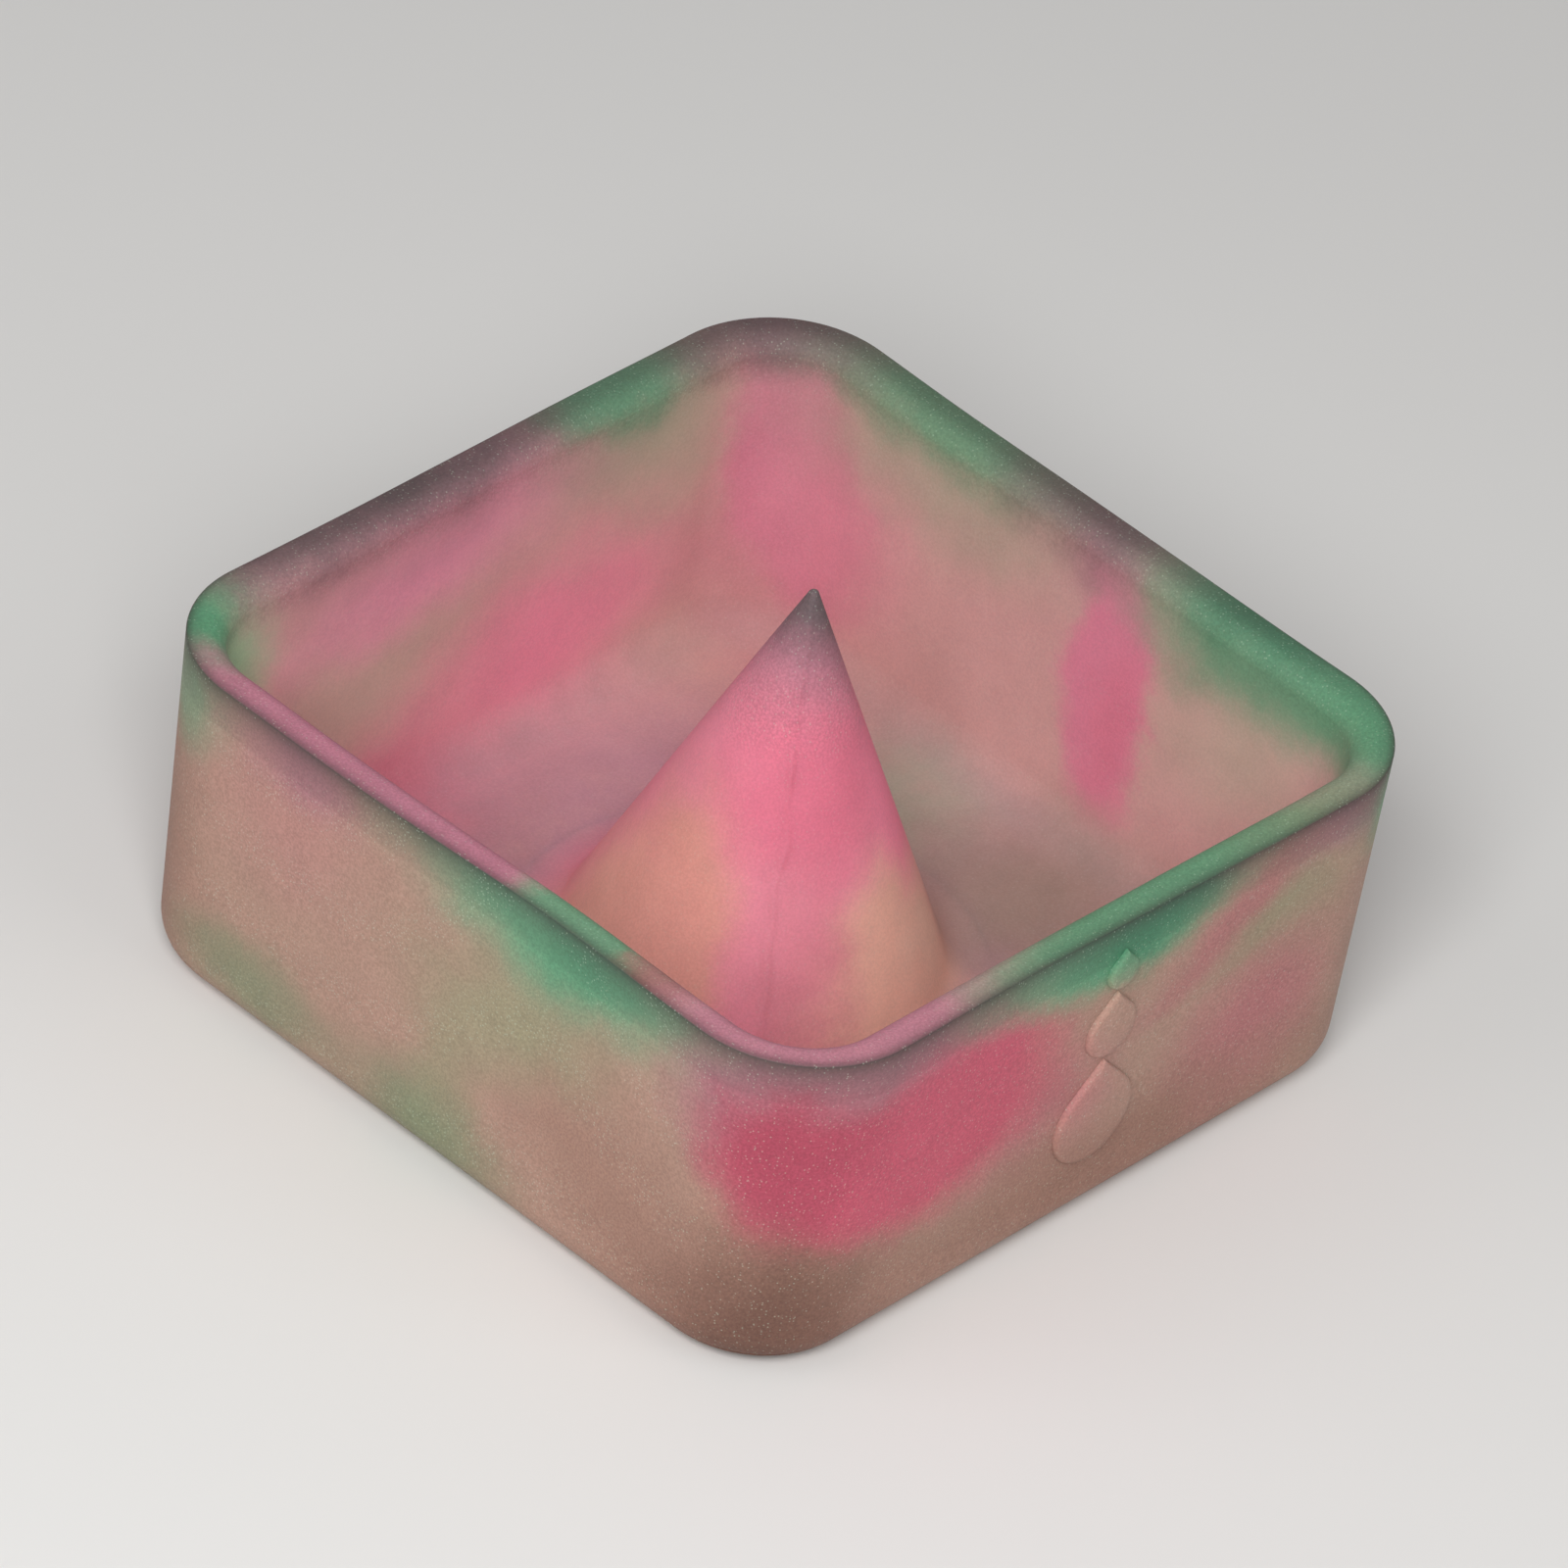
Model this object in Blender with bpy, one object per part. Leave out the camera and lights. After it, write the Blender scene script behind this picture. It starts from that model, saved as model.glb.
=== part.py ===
"""Square open-top silicone casting tray with a tall cone standing in its middle.

The tray, the cone, the base sheet under them and the raised drops on one wall are separate
solids. Units are metres, +Z is up, and the origin is the middle of the underside. The wall
with the raised drops faces -Y.
"""
from math import acos, asin, cos, pi, radians, sin, sqrt, tan

import bmesh
import bpy
from mathutils import Matrix, Vector

MM = 0.001

# Outside of the tray
RIM_HALF = 57.5 * MM        # half of the width across the flats at the rim
RIM_HEIGHT = 48.9 * MM
RIM_CORNER = 17.0 * MM      # corner radius, seen from above
BASE_HALF = 55.75 * MM      # the walls draw in a little towards the base
BASE_CORNER = 14.5 * MM
FOOT_ROUNDING = 5.7 * MM    # edge between the walls and the underside
RIM_OUTER_ROUNDING = 0.9 * MM

# Inside of the tray
MOUTH_INSET = 5.0 * MM      # from the rim's outer edge to the inner wall, at the rim
MOUTH_CORNER = 11.2 * MM
RIM_INNER_ROUNDING = 2.4 * MM
FLOOR_TOP = 5.0 * MM        # height of the inside floor
FLOOR_HALF = 50.6 * MM      # half width at which the inner walls would meet the floor
FLOOR_CORNER = 12.0 * MM
FLOOR_FILLET = 6.0 * MM

# Base sheet under the tray
BASE_SHEET_THICKNESS = 2.0 * MM
JOINT_GAP = 0.3 * MM        # clearance between touching pieces

# Cone
CONE_POINT = 64.3 * MM      # height at which the cone's sides would meet
CONE_SLOPE = 0.432          # radius gained for each unit of depth below that point
TIP_RADIUS = 0.7 * MM
FOOT_FILLET = 6.0 * MM      # flare between the cone and the floor
PLUG_RADIUS = 31.0 * MM     # round plug under the cone, flush with the floor
FLANGE_RADIUS = 35.0 * MM   # flange that the floor holds down
FLANGE_THICKNESS = 1.2 * MM

# Raised drops on the -Y wall
DROP_RISE = 0.6 * MM
DROP_EDGE = 0.3 * MM
DROP_SHAPE = 1.2            # height over width
LARGE_DROP = {"width": 13.4 * MM, "height_on_wall": 18.8 * MM}
MIDDLE_DROP = {"width": 8.4 * MM, "height_on_wall": 32.6 * MM}
SMALL_DROP = {"width": 5.0 * MM, "height_on_wall": 41.3 * MM}

# Facets
CORNER_STEPS = 9
EDGE_STEPS = 4
TURN_STEPS = 64
DROP_STEPS = 16
SMOOTH_ANGLE = radians(35)

SILICONE_PINK = (0.52, 0.26, 0.26)
SILICONE_PEACH = (0.62, 0.28, 0.26)
SILICONE_BEIGE = (0.38, 0.25, 0.21)
SILICONE_ROSE = (0.60, 0.30, 0.30)


def clear_scene():
    for old in list(bpy.data.objects):
        bpy.data.objects.remove(old, do_unlink=True)


def silicone(name, colour):
    material = bpy.data.materials.new(name)
    material.use_nodes = True
    shader = material.node_tree.nodes["Principled BSDF"]
    shader.inputs["Base Color"].default_value = (*colour, 1.0)
    shader.inputs["Roughness"].default_value = 0.55
    shader.inputs["Metallic"].default_value = 0.0
    return material


def add_object(name, shape, material):
    """Turns a bmesh into a named, smooth-shaded object with its faces pointing out."""
    bmesh.ops.recalc_face_normals(shape, faces=shape.faces)
    mesh = bpy.data.meshes.new(name)
    shape.to_mesh(mesh)
    shape.free()
    mesh.shade_smooth()
    mesh.set_sharp_from_angle(angle=SMOOTH_ANGLE)
    part = bpy.data.objects.new(name, mesh)
    bpy.context.scene.collection.objects.link(part)
    if material:
        mesh.materials.append(material)
    return part


def rounded_square(half, corner, height):
    """Points around a square with round corners, anticlockwise from above."""
    points = []
    for quarter in range(4):
        middle = Vector((half - corner, half - corner, height))
        turn = Matrix.Rotation(quarter * pi / 2, 3, "Z")
        for step in range(CORNER_STEPS + 1):
            angle = step / CORNER_STEPS * pi / 2
            offset = Vector((corner * cos(angle), corner * sin(angle), 0.0))
            points.append(turn @ (middle + offset))
    return points


def loft(shape, outlines):
    """Joins outlines of equal length with quads, and caps the first and the last."""
    rings = [[shape.verts.new(point) for point in outline] for outline in outlines]
    count = len(rings[0])
    for lower, upper in zip(rings, rings[1:]):
        for index in range(count):
            after = (index + 1) % count
            shape.faces.new((lower[index], lower[after], upper[after], upper[index]))
    shape.faces.new(list(reversed(rings[0])))
    shape.faces.new(rings[-1])


def turned(shape, profile):
    """Turns a profile about Z. It runs from its lowest point on the axis to its highest."""
    bottom = shape.verts.new((0.0, 0.0, profile[0][1]))
    top = shape.verts.new((0.0, 0.0, profile[-1][1]))
    rings = []
    for radius, height in profile[1:-1]:
        ring = []
        for step in range(TURN_STEPS):
            angle = 2 * pi * step / TURN_STEPS
            ring.append(shape.verts.new((radius * cos(angle), radius * sin(angle), height)))
        rings.append(ring)
    for step in range(TURN_STEPS):
        after = (step + 1) % TURN_STEPS
        shape.faces.new((bottom, rings[0][after], rings[0][step]))
        for lower, upper in zip(rings, rings[1:]):
            shape.faces.new((lower[step], lower[after], upper[after], upper[step]))
        shape.faces.new((rings[-1][step], rings[-1][after], top))


def arc(start, end, steps):
    """Angles from start to end, both included."""
    return [start + (end - start) * step / steps for step in range(steps + 1)]


def foot_angle(height):
    """Angle along the rounded foot edge at which it reaches a height, 0 on the underside."""
    return acos(1.0 - height / FOOT_ROUNDING)


def foot_outlines(start, end):
    """Outlines along the rounded edge between the underside and the walls."""
    outlines = []
    for angle in arc(start, end, EDGE_STEPS):
        inset = FOOT_ROUNDING * (1.0 - sin(angle))
        height = FOOT_ROUNDING * (1.0 - cos(angle))
        outlines.append(rounded_square(BASE_HALF - inset, BASE_CORNER - inset, height))
    return outlines


def rim_outlines():
    """Outlines over the rim, from the outer wall's top to the inner wall's top."""
    outlines = []
    outer, inner = RIM_OUTER_ROUNDING, RIM_INNER_ROUNDING
    for angle in arc(0.0, pi / 2, EDGE_STEPS):
        inset = outer * (1.0 - cos(angle))
        height = RIM_HEIGHT - outer * (1.0 - sin(angle))
        outlines.append(rounded_square(RIM_HALF - inset, RIM_CORNER - inset, height))
    mouth = RIM_HALF - MOUTH_INSET
    for angle in arc(pi / 2, 0.0, EDGE_STEPS):
        spread = inner * (1.0 - cos(angle))
        height = RIM_HEIGHT - inner * (1.0 - sin(angle))
        outlines.append(rounded_square(mouth + spread, MOUTH_CORNER + spread, height))
    return outlines


def floor_outlines():
    """Outlines down the fillet between the inner walls and the floor."""
    outlines = []
    for angle in arc(0.0, pi / 2, EDGE_STEPS):
        inset = FLOOR_FILLET * (1.0 - cos(angle))
        height = FLOOR_TOP + FLOOR_FILLET * (1.0 - sin(angle))
        outlines.append(rounded_square(FLOOR_HALF - inset, FLOOR_CORNER - inset, height))
    return outlines


def disc_cutter(name, radius, low, high):
    """A round cutter, left out of the finished part."""
    shape = bmesh.new()
    turned(shape, [(0.0, low), (radius, low), (radius, high), (0.0, high)])
    cutter = add_object(name, shape, None)
    cutter.hide_render = True
    cutter.display_type = "WIRE"
    return cutter


def cut(part, cutter):
    boolean = part.modifiers.new(cutter.name, "BOOLEAN")
    boolean.operation = "DIFFERENCE"
    boolean.object = cutter


def make_tray():
    """Walls, rim and floor, with a stepped round hole that the cone's plug sits in."""
    sheet_top = BASE_SHEET_THICKNESS + JOINT_GAP
    shape = bmesh.new()
    loft(shape, foot_outlines(foot_angle(sheet_top), pi / 2) + rim_outlines() + floor_outlines())
    tray = add_object("tray_body", shape, silicone("swirled silicone", SILICONE_PINK))
    below, above = sheet_top - 1.0 * MM, FLOOR_TOP + 1.0 * MM
    flange_top = sheet_top + FLANGE_THICKNESS + JOINT_GAP
    cut(tray, disc_cutter("plug_hole", PLUG_RADIUS + JOINT_GAP, below, above))
    cut(tray, disc_cutter("flange_recess", FLANGE_RADIUS + JOINT_GAP, below, flange_top))


def cone_profile():
    """Half section of the cone, its flared foot and its flanged plug."""
    bottom = BASE_SHEET_THICKNESS + JOINT_GAP
    flange_top = bottom + FLANGE_THICKNESS
    half_angle = asin(CONE_SLOPE / sqrt(1.0 + CONE_SLOPE ** 2))
    profile = [(0.0, bottom), (FLANGE_RADIUS, bottom), (FLANGE_RADIUS, flange_top)]
    profile += [(PLUG_RADIUS, flange_top), (PLUG_RADIUS, FLOOR_TOP)]

    # The flare touches the floor and the cone's side. Its centre is outside the cone.
    side_at_floor = CONE_SLOPE * (CONE_POINT - FLOOR_TOP)
    reach = FOOT_FILLET * tan((pi / 2 - half_angle) / 2)
    centre = (side_at_floor + reach, FLOOR_TOP + FOOT_FILLET)
    for angle in arc(0.0, pi / 2 - half_angle, EDGE_STEPS + 1):
        radius = centre[0] - FOOT_FILLET * sin(angle)
        profile.append((radius, centre[1] - FOOT_FILLET * cos(angle)))

    tip_centre = CONE_POINT - TIP_RADIUS / sin(half_angle)
    for angle in arc(half_angle, radians(75), EDGE_STEPS):
        profile.append((TIP_RADIUS * cos(angle), tip_centre + TIP_RADIUS * sin(angle)))
    profile.append((0.0, tip_centre + TIP_RADIUS))
    return profile


def make_cone():
    shape = bmesh.new()
    turned(shape, cone_profile())
    add_object("centre_cone", shape, silicone("cone silicone", SILICONE_PEACH))


def make_base_sheet():
    shape = bmesh.new()
    loft(shape, foot_outlines(0.0, foot_angle(BASE_SHEET_THICKNESS)))
    add_object("base_sheet", shape, silicone("base silicone", SILICONE_BEIGE))


def drop_outline(width, height):
    """A drop with a round bottom and a pointed top, centred on the origin."""
    radius = width / 2
    centre = -height / 2 + radius
    point = height / 2
    shoulder = acos(radius / (point - centre))
    points = [(0.0, point)]
    for angle in arc(pi / 2 + shoulder, 5 * pi / 2 - shoulder, DROP_STEPS):
        points.append((radius * cos(angle), centre + radius * sin(angle)))
    return points


def make_drop(name, sizes):
    """A raised drop, lying just clear of the leaning wall."""
    width = sizes["width"]
    height = DROP_SHAPE * width
    outline = drop_outline(width, height)
    face_outline = drop_outline(width - 2 * DROP_EDGE, height - 3 * DROP_EDGE)
    levels = [(outline, 0.0), (outline, DROP_RISE - DROP_EDGE), (face_outline, DROP_RISE)]
    shape = bmesh.new()
    loft(shape, [[Vector((x, -rise, z)) for x, z in points] for points, rise in levels])
    drop = add_object(name, shape, silicone(name + " silicone", SILICONE_ROSE))
    lean = (RIM_HALF - BASE_HALF) / RIM_HEIGHT
    wall = BASE_HALF + lean * sizes["height_on_wall"]
    drop.location = (0.0, -(wall + JOINT_GAP), sizes["height_on_wall"])
    drop.rotation_euler = (asin(lean), 0.0, 0.0)


clear_scene()
make_tray()
make_cone()
make_base_sheet()
make_drop("side_drop_large", LARGE_DROP)
make_drop("side_drop_middle", MIDDLE_DROP)
make_drop("side_drop_small", SMALL_DROP)
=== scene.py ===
"""Square tray of soft, swirl-dyed silicone with a pointed cone standing in its middle.

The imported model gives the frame. Each of its pieces is remade here as a fine mesh in the same
place, and all of them share one material, whose dye clouds run through the whole object.
Lengths are in metres, +Z is up, and the wall with the raised drops faces -Y.
"""
from math import acos, asin, atan2, cos, exp, hypot, pi, radians, sin, sqrt, tan

import bpy
from mathutils import Matrix, Vector, noise


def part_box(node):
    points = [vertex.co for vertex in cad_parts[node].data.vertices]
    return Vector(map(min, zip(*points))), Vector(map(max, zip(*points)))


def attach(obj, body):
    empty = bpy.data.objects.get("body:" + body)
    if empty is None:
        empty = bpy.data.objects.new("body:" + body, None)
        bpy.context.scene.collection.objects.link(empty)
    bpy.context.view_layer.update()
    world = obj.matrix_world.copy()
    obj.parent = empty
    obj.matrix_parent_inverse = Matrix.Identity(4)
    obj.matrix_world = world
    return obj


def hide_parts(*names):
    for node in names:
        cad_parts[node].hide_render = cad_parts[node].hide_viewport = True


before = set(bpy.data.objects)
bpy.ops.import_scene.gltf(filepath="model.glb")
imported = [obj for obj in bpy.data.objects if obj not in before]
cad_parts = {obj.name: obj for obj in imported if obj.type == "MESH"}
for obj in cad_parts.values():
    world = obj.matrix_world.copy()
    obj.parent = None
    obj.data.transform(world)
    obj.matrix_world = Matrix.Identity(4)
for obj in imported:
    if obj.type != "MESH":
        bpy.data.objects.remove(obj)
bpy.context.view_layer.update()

MM = 0.001

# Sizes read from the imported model
RIM_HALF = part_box("tray_body")[1][0]
RIM_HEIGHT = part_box("tray_body")[1][2]
SEAM_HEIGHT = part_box("base_sheet")[1][2]
CONE_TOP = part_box("centre_cone")[1][2]

# Outside of the tray
BASE_HALF = RIM_HALF - 1.75 * MM
RIM_CORNER = 17.0 * MM
BASE_CORNER = 14.5 * MM
FOOT_ROUNDING = 5.7 * MM
ARRIS_ROUNDING = 0.4 * MM
CREASE_DEPTH = 0.08 * MM
# Heights below the crease's upper line in millimetres, and shares of its full depth
CREASE_SECTION = ((0.6, 0.1), (0.4, 0.5), (0.2, 1.0), (0.0, 1.0), (-0.12, 0.4))
SEAM_GAP = 0.2 * MM

# Inside of the tray
MOUTH_HALF = RIM_HALF - 5.6 * MM
MOUTH_CORNER = 10.5 * MM
LIP_ROUNDING = 3.0 * MM
LIP_CROWN = 0.1 * MM
FLOOR_TOP = 5.0 * MM
FLOOR_HALF = 50.6 * MM
FLOOR_CORNER = 12.0 * MM
FLOOR_FILLET = 6.0 * MM

# Cone
CONE_SLOPE = 0.432
TIP_RADIUS = 0.7 * MM
FOOT_FILLET = 6.0 * MM
PLUG_RADIUS = 31.0 * MM
PLUG_DRAFT = 0.3 * MM
CONE_LEAN = Vector((0.5 * MM, -0.6 * MM, 0.0))
FLASH_ANGLE = radians(225.5)
FLASH_HEIGHT = 0.3 * MM
FLASH_WIDTH = 0.5 * MM
FLASH_SHADE = 0.07
FLASH_WOBBLE = 1.2 * MM
# How fast the flash wanders, and how fast it comes and goes, per metre of height
FLASH_WOBBLE_RATE = 160
FLASH_BREAK_RATE = 420

# Slight waves of the soft walls, a twist and lift of the rim, and near walls that lean in
WALL_WAVES = 0.4 * MM
RIM_TWIST = 0.4 * MM
RIM_LIFT = 0.25 * MM
WAVE_SIZE = 34 * MM
# Blender seeds its noise vectors by the clock, so the waves would differ on each run without this
WAVE_SEED = 10
WALL_BOW = 0.8 * MM
BOW_MIDDLE = -14 * MM
BOW_REACH = 20 * MM

# Painted grey shade round the rim, for the dark line at its outer edge: below the lip, on the lip, and
# on the far sides, where it is wider and tones down the lit lip. Over FAR_SIDE_BLEND it widens from
# the near sides to the far sides.
WALL_SHADE_REACH = 3.1 * MM
WALL_SHADE = 0.8
LIP_SHADE_REACH = 0.9 * MM
LIP_SHADE = 0.86
FAR_SHADE_REACH = 6.0 * MM
FAR_SHADE = 0.55
FAR_SIDE_BLEND = 30 * MM
# Painted shade at the foot of the inner walls, and along the seam above the base sheet
FLOOR_EDGE_SHADE = 0.16
SEAM_SHADE = 0.5

# Marks in the silicone: milky mottling, fine grain and glitter
MOTTLE_SIZE = 7 * MM
GRAIN_SIZE = 0.34 * MM
GRAIN_CONTRAST = 0.13
GLITTER_SIZE = 0.42 * MM
GLITTER_AMOUNT = 0.3
MARK_PALENESS = 0.09
# How much of the grain and glitter the inside shows, from GRAINY_LOW up to GRAINY_HIGH
GRAINY_LOW = 41 * MM
GRAINY_HIGH = 48 * MM
INSIDE_GRAIN = 0.38
RIM_GRAIN = 0.9
# Sizes and reaches in millimetres of the noises that make the clouds' outlines wander
CLOUD_DRIFTS = ((22, 12), (5, 4), (0.8, 2))

# Mesh density: points along each corner and side, and rings along each stretch
CORNER_STEPS = 24
SIDE_STEPS = 24
WALL_RINGS = 26
ROUNDING_RINGS = 12
LIP_RINGS = 16
CONE_RINGS = 70
DROP_STEPS = 40

# Camera
CAMERA_AZIMUTH = radians(-51.61)
CAMERA_ELEVATION = radians(37.84)
CAMERA_ROLL = radians(-9.33)
CAMERA_AIM = Vector((8.62 * MM, 5.69 * MM, 25.0 * MM))
CAMERA_DISTANCE = 1.6591
CAMERA_LENS = 308.5


# ---------------------------------------------------------------- outlines and meshes

def blend(low, high, amount):
    return low + (high - low) * amount


def spread(start, end, steps):
    return [blend(start, end, step / steps) for step in range(steps + 1)]


def outline(half, corner):
    """Points around a square with round corners, anticlockwise from above."""
    points = []
    reach = half - corner
    for quarter in range(4):
        turn = Matrix.Rotation(quarter * pi / 2, 2)
        for step in range(CORNER_STEPS):
            angle = step / CORNER_STEPS * pi / 2
            points.append(turn @ Vector((reach + corner * cos(angle), reach + corner * sin(angle))))
        for step in range(SIDE_STEPS):
            points.append(turn @ Vector((blend(reach, -reach, step / SIDE_STEPS), half)))
    return points


def circle_like(points, radius):
    """The circle's points in the same directions as the given points."""
    return [point.normalized() * radius for point in points]


def wall_half(height):
    return blend(BASE_HALF, RIM_HALF, height / RIM_HEIGHT)


def wall_corner(height):
    return blend(BASE_CORNER, RIM_CORNER, height / RIM_HEIGHT)


def bow(across, along):
    """How far a near wall leans in at a point, from the point's places across and along it."""
    nearness = max(0.0, -across / RIM_HALF) ** 4
    return WALL_BOW * nearness * exp(-((along - BOW_MIDDLE) / BOW_REACH) ** 2)


def bend(point):
    """Gives the soft walls their slight waves, lift and lean, which grow towards the rim."""
    share = min(1.0, point.z / RIM_HEIGHT)
    wave = WALL_WAVES * noise.noise_vector(Vector((point.x, point.y, point.z * 0.4)) / WAVE_SIZE)
    diagonal = (point.x + point.y) / (2 * RIM_HALF)
    lift = Vector((0.0, 0.0, RIM_LIFT + RIM_TWIST * (2 * diagonal ** 2 - 1)))
    lean = Vector((bow(point.x, point.y), bow(point.y, point.x), 0.0))
    return point + (wave + lift + lean) * share


class Surface:
    """A closed mesh made of rings, with the painting values of each ring's points."""

    def __init__(self):
        self.points = []
        self.faces = []
        self.values = {"inside": [], "shade": [], "cone": [], "raised": []}
        self.last = None

    def add_ring(self, flat_points, height, inside=0.0, shade=0.0, cone=0.0, raised=0.0):
        start = len(self.points)
        for point in flat_points:
            self.points.append((point[0], point[1], height))
        for name, value in (("inside", inside), ("shade", shade), ("cone", cone), ("raised", raised)):
            self.values[name] += value if isinstance(value, list) else [value] * len(flat_points)
        ring = range(start, start + len(flat_points))
        if self.last is not None:
            self.join(self.last, ring)
        self.last = ring
        return ring

    def join(self, lower, upper):
        count = len(lower)
        for index in range(count):
            after = (index + 1) % count
            self.faces.append((lower[index], lower[after], upper[after], upper[index]))

    def cap(self, ring, upwards):
        self.faces.append(tuple(ring) if upwards else tuple(reversed(ring)))

    def build(self, name, material, moved=bend):
        points = [moved(Vector(point)) for point in self.points]
        mesh = bpy.data.meshes.new(name)
        mesh.from_pydata(points, [], self.faces)
        for value_name, values in self.values.items():
            attribute = mesh.attributes.new(value_name, "FLOAT", "POINT")
            attribute.data.foreach_set("value", values)
        mesh.shade_smooth()
        mesh.set_sharp_from_angle(angle=radians(50))
        mesh.materials.append(material)
        piece = bpy.data.objects.new(name, mesh)
        bpy.context.scene.collection.objects.link(piece)
        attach(piece, "root")
        return piece


# ---------------------------------------------------------------- dye colours

def srgb(red, green, blue):
    """Turns screen colour values from 0 to 255 into the linear values that shaders use."""
    linear = []
    for value in (red, green, blue):
        value /= 255
        linear.append(value / 12.92 if value <= 0.04045 else ((value + 0.055) / 1.055) ** 2.4)
    return (*linear, 1.0)


DYES = {
    "beige": srgb(174, 140, 125),
    "rose": srgb(208, 162, 158),
    "pale_rose": srgb(182, 132, 126),
    "tan": srgb(192, 172, 155),
    "olive": srgb(152, 147, 119),
    "pale_green": srgb(120, 150, 120),
    "soft_green": srgb(146, 168, 136),
    "green": srgb(108, 158, 124),
    "deep_green": srgb(72, 138, 104),
    "wall_pink": srgb(180, 110, 116),
    "pink": srgb(222, 144, 160),
    "bright_pink": srgb(236, 142, 166),
    "hot_pink": srgb(222, 134, 158),
    "crimson": srgb(184, 80, 100),
    "bright_crimson": srgb(198, 88, 110),
    "deep_crimson": srgb(160, 66, 86),
    "red": srgb(216, 114, 136),
    "mauve": srgb(164, 112, 124),
    "wall_mauve": srgb(186, 128, 142),
    "rim_pink": srgb(192, 122, 142),
    "corner_pink": srgb(208, 126, 148),
    "mid_pink": srgb(230, 152, 176),
    "deep_rose": srgb(196, 130, 138),
    # painted shade along the far rims' outer edges
    "dusk": srgb(116, 96, 99),
    "flank_bright": srgb(255, 140, 170),
    "cone_tan": srgb(186, 160, 146),
    "pale_peach": srgb(240, 190, 172),
    "corner_green": srgb(152, 194, 154),
    "pale_tan": srgb(232, 204, 184),
    "floor_mauve": srgb(180, 134, 150),
    "floor_green": srgb(170, 178, 156),
    "floor_brown": srgb(158, 138, 125),
    "grey": srgb(100, 90, 92),
    "flank_pink": srgb(238, 147, 166),
    "cone_pink": srgb(212, 128, 142),
    "cone_hot_pink": srgb(228, 122, 146),
    "cone_mauve": srgb(170, 117, 131),
    "peach": srgb(220, 155, 142),
    "sand": srgb(234, 183, 163),
    "rust": srgb(150, 92, 80),
    "brown": srgb(146, 106, 92),
    # painted shade at the foot of the corner between the -X and -Y walls
    "umber": srgb(98, 70, 60),
    "moss": srgb(118, 136, 106),
    "rim_green": srgb(96, 152, 116),
    # painted shade colour, mixed in wherever the shade attribute is set
    "painted_shade_grey": srgb(62, 60, 58),
    "mark_pink": srgb(206, 160, 150),
    "glitter": srgb(206, 226, 204),
}

# Each cloud: its middle and its reach along X, Y and Z in millimetres, its dye, how much of
# the dye shows, and how soft its edge is (0 is sharp, 1 fades from the middle out). Slanted
# clouds also say how far they move along X and Y for each millimetre of height. A cloud lies
# over the ones above it in the list.
OUTSIDE_CLOUDS = [
    # -X wall
    ((-57, 56, 18), (18, 16, 26), "brown", 0.7, 0.9),
    ((-57, 50, 44), (20, 12, 10), "pale_green", 0.9, 0.8),
    ((-57, 28, 38), (20, 16, 14), "pale_rose", 0.8, 0.9),
    ((-57, 27, 46), (20, 13, 7), "mauve", 0.8, 0.9),
    ((-57, 32, 8), (20, 15, 7), "moss", 0.7, 0.9),
    ((-57, -1, 14), (20, 7, 16), "olive", 0.7, 0.9),
    ((-57, 3, 4), (20, 15, 9), "moss", 0.75, 0.9),
    ((-57, -12, 32), (20, 17, 13), "olive", 0.9, 0.9, (0, -0.6)),
    ((-57, -17, 48), (20, 29, 11), "green", 1.0, 0.7),
    ((-57, -22, 47), (20, 10, 7), "deep_green", 0.55, 0.9),
    ((-57, -26, 18), (20, 15, 15), "brown", 0.4, 0.9),
    # corner between the -X and -Y walls, with the large crimson cloud that runs round it
    # brown and umber at the foot of this corner are painted shade, darkest at the bottom
    ((-54, -54, 6), (24, 26, 22), "brown", 0.9, 0.9),
    ((-57, -57, 3), (18, 18, 22), "umber", 0.95, 0.9),
    ((-42, -50, 40), (27, 17, 16), "mauve", 0.9, 0.4),
    ((-47, -52, 33), (16, 15, 13.5), "crimson", 0.95, 0.45),
    ((-12, -57, 24), (15, 18, 11), "wall_pink", 0.8, 0.9),
    ((-30, -57, 31), (22, 18, 15), "bright_crimson", 0.95, 0.45, (0.1, 0)),
    ((-55, -55, 33), (12, 12, 14), "deep_crimson", 0.75, 0.9),
    # -Y wall
    ((-3, -57, 48), (24, 18, 9), "green", 1.0, 0.6),
    ((4, -57, 48), (17, 18, 7), "deep_green", 0.95, 0.8),
    ((4, -57, 8), (46, 18, 10), "brown", 0.75, 0.9),
    ((28, -57, 36), (13, 18, 10), "olive", 0.8, 0.9),
    ((29, -57, 20), (14, 18, 13), "wall_pink", 0.8, 0.9),
    ((21, -57, 39), (9, 18, 10), "wall_pink", 0.75, 0.9, (1.2, 0)),
    ((42, -57, 46), (12, 18, 6), "mauve", 0.85, 0.8),
    ((54, -52, 44), (14, 18, 9), "green", 0.9, 0.8),
    # +X wall, and its corner with the +Y wall
    ((57, -18, 26), (18, 18, 15), "wall_pink", 0.8, 0.8),
    ((57, 14, 44), (18, 24, 10), "green", 0.95, 0.7),
    ((57, 12, 14), (18, 16, 12), "olive", 0.7, 0.9),
    ((54, 52, 32), (16, 18, 15), "crimson", 0.85, 0.5),
    # +Y wall
    ((12, 57, 26), (18, 18, 14), "olive", 0.75, 0.9),
    ((4, 57, 46), (24, 18, 9), "green", 0.95, 0.7),
    ((-22, 57, 20), (20, 18, 14), "wall_pink", 0.8, 0.8, (0.5, 0)),
    ((-34, 57, 44), (20, 18, 8), "mauve", 0.8, 0.9),
]
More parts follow.
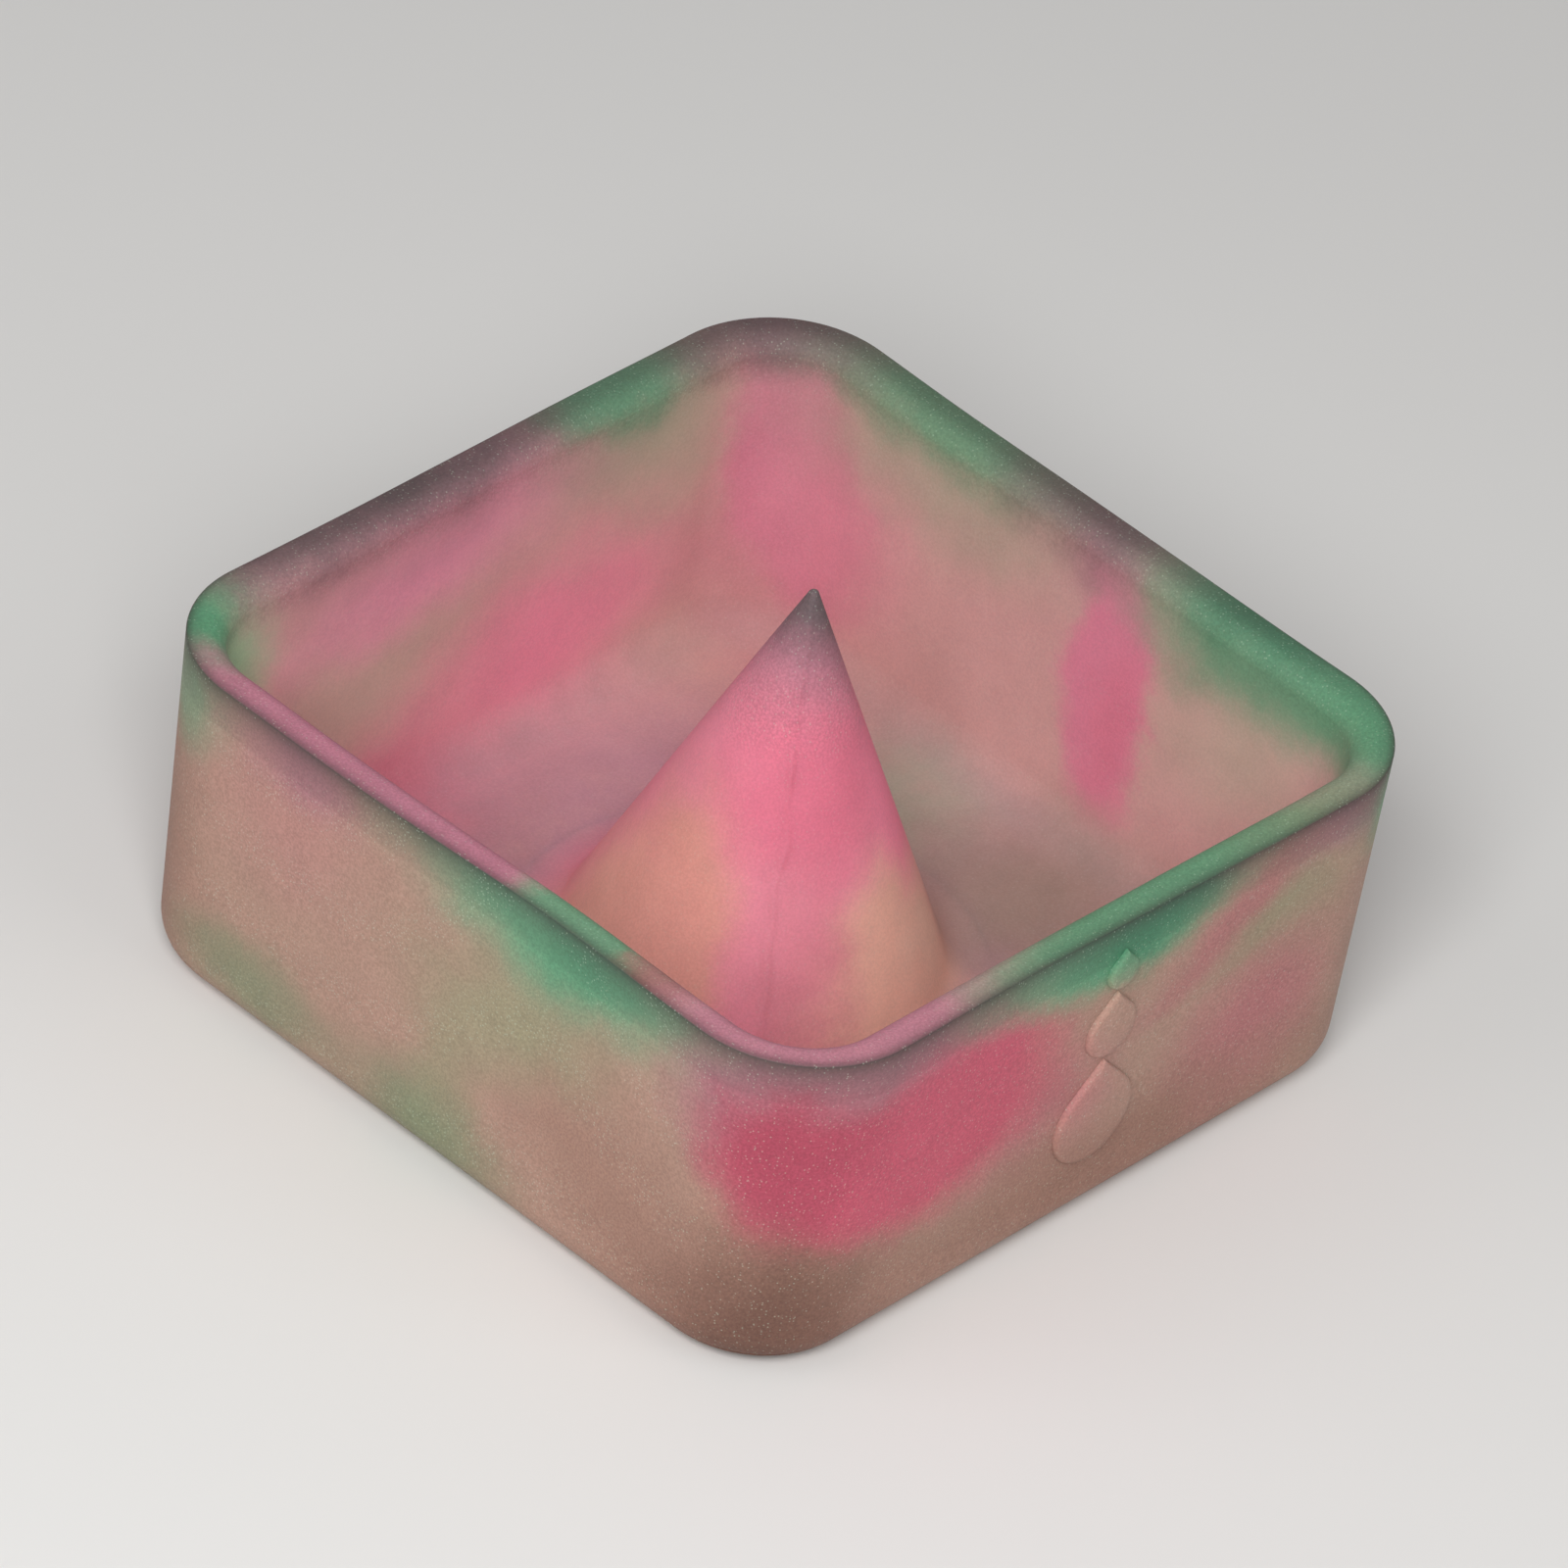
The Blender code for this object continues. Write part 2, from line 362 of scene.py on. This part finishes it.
INSIDE_CLOUDS = [
    # rim and inner wall at +Y
    ((-18, 54, 25), (22, 14, 10), "tan", 0.6, 0.9),
    ((34, 52, 30), (11, 16, 26), "tan", 0.9, 0.8),
    ((-10, 53, 38), (27, 14, 8), "mid_pink", 0.85, 0.9, (1.0, 0)),
    ((14, 52, 17), (28, 14, 14), "bright_pink", 0.9, 0.85, (0.45, 0)),
    ((-13, 50, 8), (16, 14, 8), "pink", 0.85, 0.8),
    ((-15, 50, 6), (9, 14, 6), "red", 0.6, 0.9),
    ((-8, 55, 47), (40, 14, 9), "wall_mauve", 0.85, 0.9),
    # painted shade along the far rim's outer edge
    ((-12, 58, 52), (60, 16, 8), "dusk", 0.95, 0.75),
    ((-52, 48, 26), (14, 18, 20), "pale_tan", 0.9, 0.9),
    ((-51, 52, 41), (14, 16, 12), "corner_green", 0.95, 0.6),
    ((-55, 53, 50), (14, 16, 6), "rim_green", 1.0, 0.6),
    ((26, 54, 44), (16, 12, 9), "soft_green", 0.6, 0.9),
    ((25, 56, 50), (14, 12, 7), "green", 0.95, 0.7),
    # corner between the +Y and +X walls
    ((50, 50, 18), (16, 16, 17), "deep_rose", 0.7, 0.9),
    ((55, 47, 31), (12, 14, 23), "corner_pink", 0.9, 0.35, (0, 0.3)),
    ((48, 38, 24), (20, 13, 14), "pink", 0.7, 0.9),
    # painted shade along the far rim's outer edge
    ((54, 54, 52), (22, 22, 8), "dusk", 0.85, 0.75),
    # rim and inner wall at +X
    ((54, 24, 42), (14, 26, 12), "soft_green", 0.55, 0.9),
    ((54, 24, 50), (14, 22, 8), "rim_green", 0.85, 0.7),
    ((54, -4, 46), (14, 8, 9), "wall_mauve", 0.85, 0.9),
    # painted shade along the far rim's outer edge
    ((56, 2, 50), (14, 15, 8), "dusk", 0.75, 0.85),
    ((54, -30, 34), (14, 16, 14), "tan", 0.9, 0.9),
    ((53, -10, 28), (14, 8, 19), "hot_pink", 0.95, 0.35, (0, 0.15)),
    ((53, -13, 25), (14, 5, 13), "red", 0.4, 0.9),
    ((55, -33, 47), (18, 27, 11), "green", 0.95, 0.6),
    ((57, -30, 50), (14, 18, 6), "deep_green", 0.8, 0.9),
    # rim over the near walls
    ((-57, 19, 49), (12, 31, 10), "rim_pink", 0.95, 0.25),
    ((-57, -19, 49), (12, 12, 10), "green", 0.95, 0.4),
    ((-57, -31, 49), (12, 4, 10), "rust", 0.7, 0.8),
    ((-52, -52, 49), (32, 21, 10), "rim_pink", 0.85, 0.4),
    ((8, -57, 49), (36, 12, 10), "rim_green", 0.95, 0.4),
    ((33, -57, 49), (12, 11, 10), "olive", 0.4, 0.9),
    ((54, -52, 49), (15, 15, 10), "rim_green", 0.95, 0.8),
    # inside of the near walls
    ((-52, 8, 26), (12, 24, 14), "hot_pink", 0.75, 0.8, (0, 0.5)),
    ((-52, -30, 22), (12, 18, 16), "tan", 0.8, 0.9),
    ((-8, -52, 24), (24, 12, 14), "hot_pink", 0.75, 0.8, (-0.5, 0)),
    ((32, -52, 28), (16, 12, 14), "tan", 0.8, 0.9),
    # floor
    ((0, 0, 2), (56, 56, 9), "floor_mauve", 0.95, 0.5),
    ((36, 12, 2), (16, 16, 9), "floor_green", 0.85, 0.8),
    ((38, -14, 3), (20, 20, 11), "floor_brown", 0.9, 0.9),
]
CONE_CLOUDS = [
    ((24, -12, 6), (20, 22, 18), "cone_tan", 0.95, 0.7),
    ((-6, -8, 42), (16, 14, 13), "cone_hot_pink", 0.9, 0.7),
    ((-22, 2, 14), (20, 15, 29), "peach", 0.95, 0.3),
    ((4, -24, 10), (18, 19, 24), "sand", 0.95, 0.3),
    ((-3, -9, 37), (8, 7, 10), "cone_hot_pink", 0.7, 0.9),
    ((-11, -15, 12), (9, 8, 23), "cone_pink", 0.9, 0.8),
    ((-9, 12, 30), (9, 8, 15), "flank_pink", 0.8, 0.9),
    ((-18, 12, 10), (15, 17, 14), "pale_peach", 0.6, 0.9),
    ((14, -17, 18), (9, 9, 14), "pale_tan", 0.55, 0.9),
    ((9, -11, 34), (7, 7, 14), "flank_bright", 0.75, 0.9),
    ((0, 0, 58), (18, 18, 12), "cone_mauve", 0.9, 0.95),
    ((0, 0, 65), (12, 12, 9), "grey", 0.95, 0.8),
]


class NodeGraph:
    """Short names for adding and joining shader nodes."""

    def __init__(self, tree):
        self.tree = tree

    def add(self, kind, inputs=None, **settings):
        node = self.tree.nodes.new(kind)
        for name, value in settings.items():
            setattr(node, name, value)
        for key, value in (inputs or {}).items():
            self.connect(value, node.inputs[key])
        return node

    def connect(self, value, socket):
        if isinstance(value, bpy.types.NodeSocket):
            self.tree.links.new(value, socket)
        else:
            socket.default_value = value

    def math(self, operation, first, second):
        return self.add("ShaderNodeMath", {0: first, 1: second}, operation=operation).outputs[0]

    def vector_math(self, operation, first, second):
        return self.add("ShaderNodeVectorMath", {0: first, 1: second}, operation=operation)

    def ramp(self, value, low, high, low_result=0.0, high_result=1.0):
        inputs = {"Value": value, "From Min": low, "From Max": high,
                  "To Min": low_result, "To Max": high_result}
        return self.add("ShaderNodeMapRange", inputs, interpolation_type="SMOOTHSTEP").outputs[0]

    def mix(self, factor, first, second):
        node = self.add("ShaderNodeMix", {0: factor, 6: first, 7: second}, data_type="RGBA")
        return node.outputs[2]

    def noise(self, position, size, detail):
        inputs = {"Vector": position, "Scale": 1 / size, "Detail": detail, "Roughness": 0.6}
        return self.add("ShaderNodeTexNoise", inputs)

    def attribute(self, name):
        return self.add("ShaderNodeAttribute", attribute_name=name).outputs["Fac"]


def cloud_group():
    """A node group that lays one soft cloud of dye over a colour."""
    tree = bpy.data.node_groups.new("dye_cloud", "ShaderNodeTree")
    for name, kind in (("Colour", "NodeSocketColor"), ("Position", "NodeSocketVector"),
                       ("Middle", "NodeSocketVector"), ("Reach", "NodeSocketVector"),
                       ("Slant", "NodeSocketVector"), ("Dye", "NodeSocketColor"),
                       ("Amount", "NodeSocketFloat"), ("Core", "NodeSocketFloat"),
                       ("Rim", "NodeSocketFloat")):
        tree.interface.new_socket(name, in_out="INPUT", socket_type=kind)
    tree.interface.new_socket("Colour", in_out="OUTPUT", socket_type="NodeSocketColor")
    graph = NodeGraph(tree)
    given = graph.add("NodeGroupInput").outputs
    offset = graph.vector_math("SUBTRACT", given["Position"], given["Middle"]).outputs[0]
    height = graph.add("ShaderNodeSeparateXYZ", {0: offset}).outputs[2]
    slide = graph.add("ShaderNodeVectorMath", {0: given["Slant"], "Scale": height}, operation="SCALE")
    upright = graph.vector_math("SUBTRACT", offset, slide.outputs[0]).outputs[0]
    scaled = graph.vector_math("DIVIDE", upright, given["Reach"]).outputs[0]
    distance = graph.add("ShaderNodeVectorMath", {0: scaled}, operation="LENGTH").outputs["Value"]
    amount = graph.ramp(distance, given["Core"], given["Rim"], given["Amount"], 0.0)
    result = graph.mix(amount, given["Colour"], given["Dye"])
    graph.add("NodeGroupOutput", {0: result})
    return tree


def paint_clouds(graph, group, colour, position, clouds):
    for middle, reach, dye, amount, softness, *slant in clouds:
        node = graph.add("ShaderNodeGroup", node_tree=group)
        inputs = {"Colour": colour, "Position": position,
                  "Middle": [value * MM for value in middle],
                  "Reach": [value * MM for value in reach],
                  "Slant": (*slant[0], 0.0) if slant else (0.0, 0.0, 0.0),
                  "Dye": DYES[dye], "Amount": amount,
                  "Core": 1.0 - softness, "Rim": 1.06 + 0.4 * softness}
        for name, value in inputs.items():
            graph.connect(value, node.inputs[name])
        colour = node.outputs[0]
    return colour


def swirled_silicone():
    """Translucent silicone, clouded with dyes and speckled with fine glitter."""
    material = bpy.data.materials.new("swirled_silicone")
    material.use_nodes = True
    graph = NodeGraph(material.node_tree)
    shader = material.node_tree.nodes["Principled BSDF"]
    place = graph.add("ShaderNodeTexCoord").outputs["Object"]

    # The clouds' outlines wander, and their edges are ragged at a smaller scale.
    warped = place
    for size, reach in CLOUD_DRIFTS:
        drift = graph.noise(place, size * MM, detail=2.0).outputs["Color"]
        centred = graph.vector_math("SUBTRACT", drift, (0.5, 0.5, 0.5)).outputs[0]
        moved = graph.vector_math("MULTIPLY", centred, (reach * MM,) * 3).outputs[0]
        warped = graph.vector_math("ADD", warped, moved).outputs[0]

    group = cloud_group()
    outside = paint_clouds(graph, group, DYES["beige"], warped, OUTSIDE_CLOUDS)
    inside = paint_clouds(graph, group, DYES["rose"], warped, INSIDE_CLOUDS)
    cone = paint_clouds(graph, group, DYES["flank_pink"], warped, CONE_CLOUDS)
    colour = graph.mix(graph.attribute("inside"), outside, inside)
    colour = graph.mix(graph.attribute("cone"), colour, cone)

    # The outside and the rim are grainy with fine glitter, and the inside is smoother lower down.
    height = graph.add("ShaderNodeSeparateXYZ", {0: place}).outputs[2]
    outer = graph.math("SUBTRACT", 1.0, graph.attribute("inside"))
    inner = graph.ramp(height, GRAINY_LOW, GRAINY_HIGH, INSIDE_GRAIN, RIM_GRAIN)
    grainy = graph.math("MAXIMUM", outer, inner)

    # Milky mottling, coarse and fine
    coarse = graph.noise(place, MOTTLE_SIZE, detail=4.0).outputs["Fac"]
    fine = graph.noise(place, GRAIN_SIZE, detail=1.0).outputs["Fac"]
    contrast = graph.ramp(fine, 0.25, 0.75, -GRAIN_CONTRAST, GRAIN_CONTRAST)
    grain = graph.math("MULTIPLY", contrast, grainy)
    mottle = graph.math("ADD", graph.ramp(coarse, 0.3, 0.7, 0.965, 1.035), grain)
    scaled = graph.add("ShaderNodeVectorMath", {0: colour, "Scale": mottle}, operation="SCALE")
    colour = scaled.outputs[0]

    # Paler raised marks, and greyer edges: painted grey shade, laid on by the shade attribute round
    # the rim, at the seam, at the floor's edge and along the flash
    raised = graph.math("MULTIPLY", graph.attribute("raised"), MARK_PALENESS)
    colour = graph.mix(raised, colour, DYES["mark_pink"])
    colour = graph.mix(graph.attribute("shade"), colour, DYES["painted_shade_grey"])

    # Glitter: small pale flecks of different brightness, each in its own cell
    cells = graph.add("ShaderNodeTexVoronoi", {"Vector": place, "Scale": 1 / GLITTER_SIZE})
    chosen = graph.add("ShaderNodeSeparateColor", {0: cells.outputs["Color"]}).outputs[0]
    fleck = graph.math("MULTIPLY", graph.ramp(cells.outputs["Distance"], 0.15, 0.36, 1.0, 0.0),
                       graph.ramp(chosen, 0.4, 1.0, 0.0, GLITTER_AMOUNT))
    colour = graph.mix(graph.math("MULTIPLY", fleck, grainy), colour, DYES["glitter"])

    graph.connect(colour, shader.inputs["Base Color"])
    shader.inputs["Roughness"].default_value = 0.65
    shader.inputs["Specular IOR Level"].default_value = 0.3
    shader.inputs["Subsurface Weight"].default_value = 0.25
    shader.inputs["Subsurface Radius"].default_value = (1.0, 0.5, 0.4)
    shader.inputs["Subsurface Scale"].default_value = 2.5 * MM
    bump = graph.add("ShaderNodeBump", {"Height": fine, "Strength": 0.15, "Distance": 0.1 * MM})
    graph.connect(bump.outputs[0], shader.inputs["Normal"])
    return material


# ---------------------------------------------------------------- tray

def edge_shade(distance, reach, strength):
    """How strong the painted shade is at a distance from the rim's outer edge."""
    return strength * exp(-distance / reach)


def ring_shades(points, distance):
    """The painted shade of each point of a ring inside the outer edge, which is wider on the far
    sides.
    """
    narrow = edge_shade(distance, LIP_SHADE_REACH, LIP_SHADE)
    wide = FAR_SHADE * exp(-(distance / FAR_SHADE_REACH) ** 2)
    shades = []
    for point in points:
        farness = min(1.0, max(0.0, (point[0] + point[1]) / FAR_SIDE_BLEND))
        shades.append(max(narrow, wide * farness))
    return shades


def add_foot(surface, start, end, steps):
    """Rings along the rounded edge between the underside and the walls."""
    for angle in spread(start, end, steps):
        inset = FOOT_ROUNDING * (1 - sin(angle))
        height = FOOT_ROUNDING * (1 - cos(angle))
        half = wall_half(height) - inset
        surface.add_ring(outline(half, wall_corner(height) - inset), height)


def foot_angle(height):
    return acos(1 - height / FOOT_ROUNDING)


def foot_inset(height):
    """How far the rounded foot lies inside the foot of the wall at a height."""
    return FOOT_ROUNDING * (1 - sin(foot_angle(height)))


def add_outer_wall(surface):
    crease = RIM_HEIGHT - ARRIS_ROUNDING
    for height in spread(FOOT_ROUNDING + 1 * MM, crease - 6 * MM, WALL_RINGS):
        surface.add_ring(outline(wall_half(height), wall_corner(height)), height)
    # Painted shade darkens the outer wall towards the lip.
    for below in spread(5.5 * MM, 0.9 * MM, ROUNDING_RINGS):
        height = crease - below
        shade = edge_shade(below, WALL_SHADE_REACH, WALL_SHADE)
        surface.add_ring(outline(wall_half(height), wall_corner(height)), height, shade=shade)
    # A fine crease runs round just under the lip.
    for below, depth in CREASE_SECTION:
        height = crease - below * MM
        inset = CREASE_DEPTH * depth
        half = wall_half(height) - inset
        shade = edge_shade(max(below, 0) * MM, WALL_SHADE_REACH, WALL_SHADE)
        surface.add_ring(outline(half, wall_corner(height) - inset), height, shade=shade)


def add_lip(surface):
    inner = LIP_ROUNDING
    # The lip carries painted shade, narrow on the near sides and wide on the far sides.
    for angle in spread(radians(15), pi / 2, 7):
        inset = ARRIS_ROUNDING * (1 - cos(angle))
        height = RIM_HEIGHT - LIP_CROWN - ARRIS_ROUNDING * (1 - sin(angle))
        inside = 0.0 if angle < radians(40) else 1.0
        points = outline(RIM_HALF - inset, RIM_CORNER - inset)
        surface.add_ring(points, height, inside, ring_shades(points, inset))
    start, end = RIM_HALF - ARRIS_ROUNDING, MOUTH_HALF + inner
    for amount in spread(0.0, 1.0, 3)[1:-1]:
        half = blend(start, end, amount)
        corner = blend(RIM_CORNER - ARRIS_ROUNDING, MOUTH_CORNER + inner, amount)
        height = RIM_HEIGHT - LIP_CROWN * (1 - sin(pi * amount / 2 + 0.15) ** 2)
        points = outline(half, corner)
        surface.add_ring(points, height, 1.0, ring_shades(points, RIM_HALF - half))
    for angle in spread(pi / 2, 0.0, LIP_RINGS):
        wider = inner * (1 - cos(angle))
        height = RIM_HEIGHT - inner * (1 - sin(angle))
        points = outline(MOUTH_HALF + wider, MOUTH_CORNER + wider)
        distance = RIM_HALF - MOUTH_HALF - wider + RIM_HEIGHT - height
        surface.add_ring(points, height, 1.0, ring_shades(points, distance))


def add_inner_wall(surface):
    top, bottom = RIM_HEIGHT - LIP_ROUNDING, FLOOR_TOP + FLOOR_FILLET
    # The far inner walls carry the end of the wide painted shade below the lip.
    for amount in spread(0.0, 1.0, WALL_RINGS)[1:-1]:
        half = blend(MOUTH_HALF, FLOOR_HALF, amount)
        corner = blend(MOUTH_CORNER, FLOOR_CORNER, amount)
        points = outline(half, corner)
        height = blend(top, bottom, amount)
        distance = RIM_HALF - MOUTH_HALF + RIM_HEIGHT - height
        surface.add_ring(points, height, 1.0, ring_shades(points, distance))
    for angle in spread(0.0, pi / 2, ROUNDING_RINGS):
        inset = FLOOR_FILLET * (1 - cos(angle))
        height = FLOOR_TOP + FLOOR_FILLET * (1 - sin(angle))
        # Painted shade on the rounded foot of the inner walls, which the lights leave brighter than
        # the floor and walls
        shade = FLOOR_EDGE_SHADE * sin(2 * angle)
        surface.add_ring(outline(FLOOR_HALF - inset, FLOOR_CORNER - inset), height, 1.0, shade)


def add_floor(surface):
    edge = outline(FLOOR_HALF - FLOOR_FILLET, FLOOR_CORNER - FLOOR_FILLET)
    plug = circle_like(edge, PLUG_RADIUS)
    for amount in spread(0.0, 1.0, 8)[1:]:
        points = [outer.lerp(inner, amount) for outer, inner in zip(edge, plug)]
        surface.add_ring(points, FLOOR_TOP, 1.0)
    surface.add_ring(circle_like(edge, PLUG_RADIUS + PLUG_DRAFT), SEAM_HEIGHT + SEAM_GAP)


def make_tray(material):
    surface = Surface()
    bottom = SEAM_HEIGHT + SEAM_GAP
    inset = foot_inset(bottom) + SEAM_GAP
    points = outline(wall_half(0) - inset, wall_corner(0) - inset)
    # Painted shade along the seam just above the base sheet
    first = surface.add_ring(points, bottom, shade=SEAM_SHADE)
    add_foot(surface, foot_angle(bottom + SEAM_GAP), pi / 2, 14)
    add_outer_wall(surface)
    add_lip(surface)
    add_inner_wall(surface)
    add_floor(surface)
    surface.join(surface.last, first)
    tray = surface.build("silicone_tray", material)
    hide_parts("tray_body")


# ---------------------------------------------------------------- base sheet

def make_base(material):
    surface = Surface()
    top = SEAM_HEIGHT
    first_half = BASE_HALF - FOOT_ROUNDING
    first = surface.add_ring(outline(first_half, BASE_CORNER - FOOT_ROUNDING), 0.0)
    add_foot(surface, radians(4), foot_angle(top - SEAM_GAP), 10)
    inset = foot_inset(top)
    last = surface.add_ring(outline(BASE_HALF - inset - SEAM_GAP, BASE_CORNER - inset), top)
    surface.cap(first, upwards=False)
    surface.cap(last, upwards=True)
    base = surface.build("silicone_base", material)
    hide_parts("base_sheet")


# ---------------------------------------------------------------- cone

def cone_profile():
    """Radius and height from the floor joint to the tip, and how much of each is cone."""
    half_angle = asin(CONE_SLOPE / sqrt(1 + CONE_SLOPE ** 2))
    tip_centre = CONE_TOP - TIP_RADIUS
    point = tip_centre + TIP_RADIUS / sin(half_angle)
    foot = CONE_SLOPE * (point - FLOOR_TOP)
    centre = foot + FOOT_FILLET * tan((pi / 2 - half_angle) / 2)
    profile = [(PLUG_RADIUS, FLOOR_TOP, 0.0), (blend(PLUG_RADIUS, centre, 0.5), FLOOR_TOP, 0.1)]
    for angle in spread(0.0, pi / 2 - half_angle, ROUNDING_RINGS):
        radius = centre - FOOT_FILLET * sin(angle)
        height = FLOOR_TOP + FOOT_FILLET * (1 - cos(angle))
        profile.append((radius, height, 0.2 + 0.8 * angle / (pi / 2 - half_angle)))
    start = profile[-1]
    end = (TIP_RADIUS * cos(half_angle), tip_centre + TIP_RADIUS * sin(half_angle))
    for amount in spread(0.0, 1.0, CONE_RINGS)[1:-1]:
        profile.append((blend(start[0], end[0], amount), blend(start[1], end[1], amount), 1.0))
    for angle in spread(half_angle, radians(82), 7):
        profile.append((TIP_RADIUS * cos(angle), tip_centre + TIP_RADIUS * sin(angle), 1.0))
    return profile


def flash_amount(point, width):
    """How much of the wobbly line of flash down the cone's side is at a point, from 0 to 1."""
    height = point.z - FLOOR_TOP
    if height <= FOOT_FILLET * 0.3:
        return 0.0
    radius = hypot(point.x, point.y)
    angle = atan2(point.y, point.x) % (2 * pi)
    wobble = FLASH_WOBBLE * noise.noise(Vector((point.z * FLASH_WOBBLE_RATE, 3.1, 0.0)))
    across = (angle - FLASH_ANGLE) * radius + wobble
    strength = 0.6 + 0.8 * noise.noise(Vector((point.z * FLASH_BREAK_RATE, 9.7, 0.0)))
    amount = exp(-(across / width) ** 2) * strength
    return amount * min(1.0, radius / (3 * MM)) * min(1.0, height / (14 * MM))


def cone_finish(point):
    """Raises the flash and leans the cone a little."""
    rise = FLASH_HEIGHT * flash_amount(point, FLASH_WIDTH)
    out = Vector((point.x, point.y, 0.0)).normalized() * rise
    share = (point.z - FLOOR_TOP) / (CONE_TOP - FLOOR_TOP)
    return bend(point + out + CONE_LEAN * max(0.0, share))


def make_cone(material):
    surface = Surface()
    directions = outline(FLOOR_HALF - FLOOR_FILLET, FLOOR_CORNER - FLOOR_FILLET)
    first = surface.add_ring(circle_like(directions, PLUG_RADIUS - PLUG_DRAFT), SEAM_HEIGHT + SEAM_GAP)
    for radius, height, cone in cone_profile():
        last = surface.add_ring(circle_like(directions, radius), height, 1.0, cone=cone)
        # A faint painted shade runs along the raised flash line.
        for index in last:
            shade = FLASH_SHADE * flash_amount(Vector(surface.points[index]), 2 * FLASH_WIDTH)
            surface.values["shade"][index] = max(0.0, shade)
    surface.cap(first, upwards=False)
    surface.cap(last, upwards=True)
    cone = surface.build("silicone_cone", material, moved=cone_finish)
    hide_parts("centre_cone")


# ---------------------------------------------------------------- raised drops

# How far each ring lies inside the drop's outline and how high it stands, in millimetres
DROP_SECTION = [(0.0, -0.6), (0.0, 0.15), (0.08, 0.42), (0.26, 0.62), (0.5, 0.74), (0.85, 0.81),
                (1.4, 0.86), (2.1, 0.9), (2.9, 0.92)]


def drop_outline(width, height):
    """A drop with a round bottom and a pointed top, centred on the origin."""
    radius = width / 2
    centre = -height / 2 + radius
    shoulder = acos(radius / (height / 2 - centre))
    arc = spread(pi / 2 + shoulder, 5 * pi / 2 - shoulder, DROP_STEPS)
    points = [Vector((radius * cos(angle), centre + radius * sin(angle))) for angle in arc]
    tip = Vector((0.0, height / 2))
    left = [points[-1].lerp(tip, amount) for amount in spread(0.0, 1.0, 8)[1:-1]]
    right = [tip.lerp(points[0], amount) for amount in spread(0.0, 1.0, 8)[1:-1]]
    return points + left + [tip] + right


def make_drop(node, material):
    low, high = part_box(node)
    width, height = high[0] - low[0], high[2] - low[2]
    middle = (low[2] + high[2]) / 2
    scale = min(1.0, width / (9 * MM))
    surface = Surface()
    rings = []
    for inset, rise in DROP_SECTION:
        inset *= MM * scale
        points = drop_outline(width - 2 * inset, height - 2.6 * inset)
        rings.append(surface.add_ring(points, rise * MM, raised=min(1.0, max(0.0, rise + 0.2))))
    surface.cap(rings[0], upwards=False)
    surface.cap(rings[-1], upwards=True)
    slope = (RIM_HALF - BASE_HALF) / RIM_HEIGHT

    def onto_wall(point):
        across, up, out = point
        return bend(Vector((across, -(wall_half(middle + up) + out), middle + up + slope * out)))

    drop = surface.build(node.replace("side_drop", "silicone_drop"), material, moved=onto_wall)
    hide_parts(node)


# ---------------------------------------------------------------- studio

def make_floor():
    size = 6.0
    mesh = bpy.data.meshes.new("studio_floor")
    corners = [(-size, -size, 0), (size, -size, 0), (size, size, 0), (-size, size, 0)]
    mesh.from_pydata(corners, [], [(0, 1, 2, 3)])
    material = bpy.data.materials.new("studio_floor")
    material.use_nodes = True
    shader = material.node_tree.nodes["Principled BSDF"]
    shader.inputs["Base Color"].default_value = (0.8, 0.79, 0.775, 1.0)
    shader.inputs["Roughness"].default_value = 0.9
    mesh.materials.append(material)
    floor = bpy.data.objects.new("studio_floor", mesh)
    bpy.context.scene.collection.objects.link(floor)


def camera_rotation():
    back = Vector((sin(CAMERA_AZIMUTH) * cos(CAMERA_ELEVATION),
                   -cos(CAMERA_AZIMUTH) * cos(CAMERA_ELEVATION), sin(CAMERA_ELEVATION)))
    right = Vector((cos(CAMERA_AZIMUTH), sin(CAMERA_AZIMUTH), 0.0))
    up = back.cross(right)
    turned_right = cos(CAMERA_ROLL) * right - sin(CAMERA_ROLL) * up
    turned_up = sin(CAMERA_ROLL) * right + cos(CAMERA_ROLL) * up
    return Matrix((turned_right, turned_up, back)).transposed()


def make_camera():
    data = bpy.data.cameras.new("camera")
    data.lens = CAMERA_LENS
    data.sensor_width = 36.0
    camera = bpy.data.objects.new("camera", data)
    bpy.context.scene.collection.objects.link(camera)
    rotation = camera_rotation()
    place = CAMERA_AIM + rotation.col[2] * CAMERA_DISTANCE
    camera.matrix_world = Matrix.Translation(place) @ rotation.to_4x4()
    data.clip_end = 20.0
    bpy.context.scene.camera = camera


def add_light(name, azimuth, elevation, distance, size, power):
    """A square soft light, aimed at the middle of the tray."""
    away = Vector((sin(radians(azimuth)) * cos(radians(elevation)),
                   -cos(radians(azimuth)) * cos(radians(elevation)), sin(radians(elevation))))
    data = bpy.data.lights.new(name, "AREA")
    data.shape = "SQUARE"
    data.size = size
    data.energy = power
    light = bpy.data.objects.new(name, data)
    bpy.context.scene.collection.objects.link(light)
    light.location = away * distance + Vector((0.0, 0.0, 0.02))
    light.rotation_euler = away.to_track_quat("Z", "Y").to_euler()


def make_lights():
    add_light("key", -57, 43, 1.0, 0.45, 7.0)
    add_light("left_fill", -115, 42, 1.0, 0.6, 1.2)
    add_light("right_fill", 12, 42, 1.0, 0.6, 1.2)
    world = bpy.data.worlds.new("studio")
    world.use_nodes = True
    background = world.node_tree.nodes["Background"]
    background.inputs["Color"].default_value = (1.0, 1.0, 1.0, 1.0)
    background.inputs["Strength"].default_value = 0.27
    bpy.context.scene.world = world
    bpy.context.scene.view_settings.view_transform = "Standard"


make_camera()
noise.seed_set(WAVE_SEED)
silicone = swirled_silicone()
make_tray(silicone)
make_base(silicone)
make_cone(silicone)
for drop_node in ("side_drop_large", "side_drop_middle", "side_drop_small"):
    make_drop(drop_node, silicone)
make_floor()
make_lights()
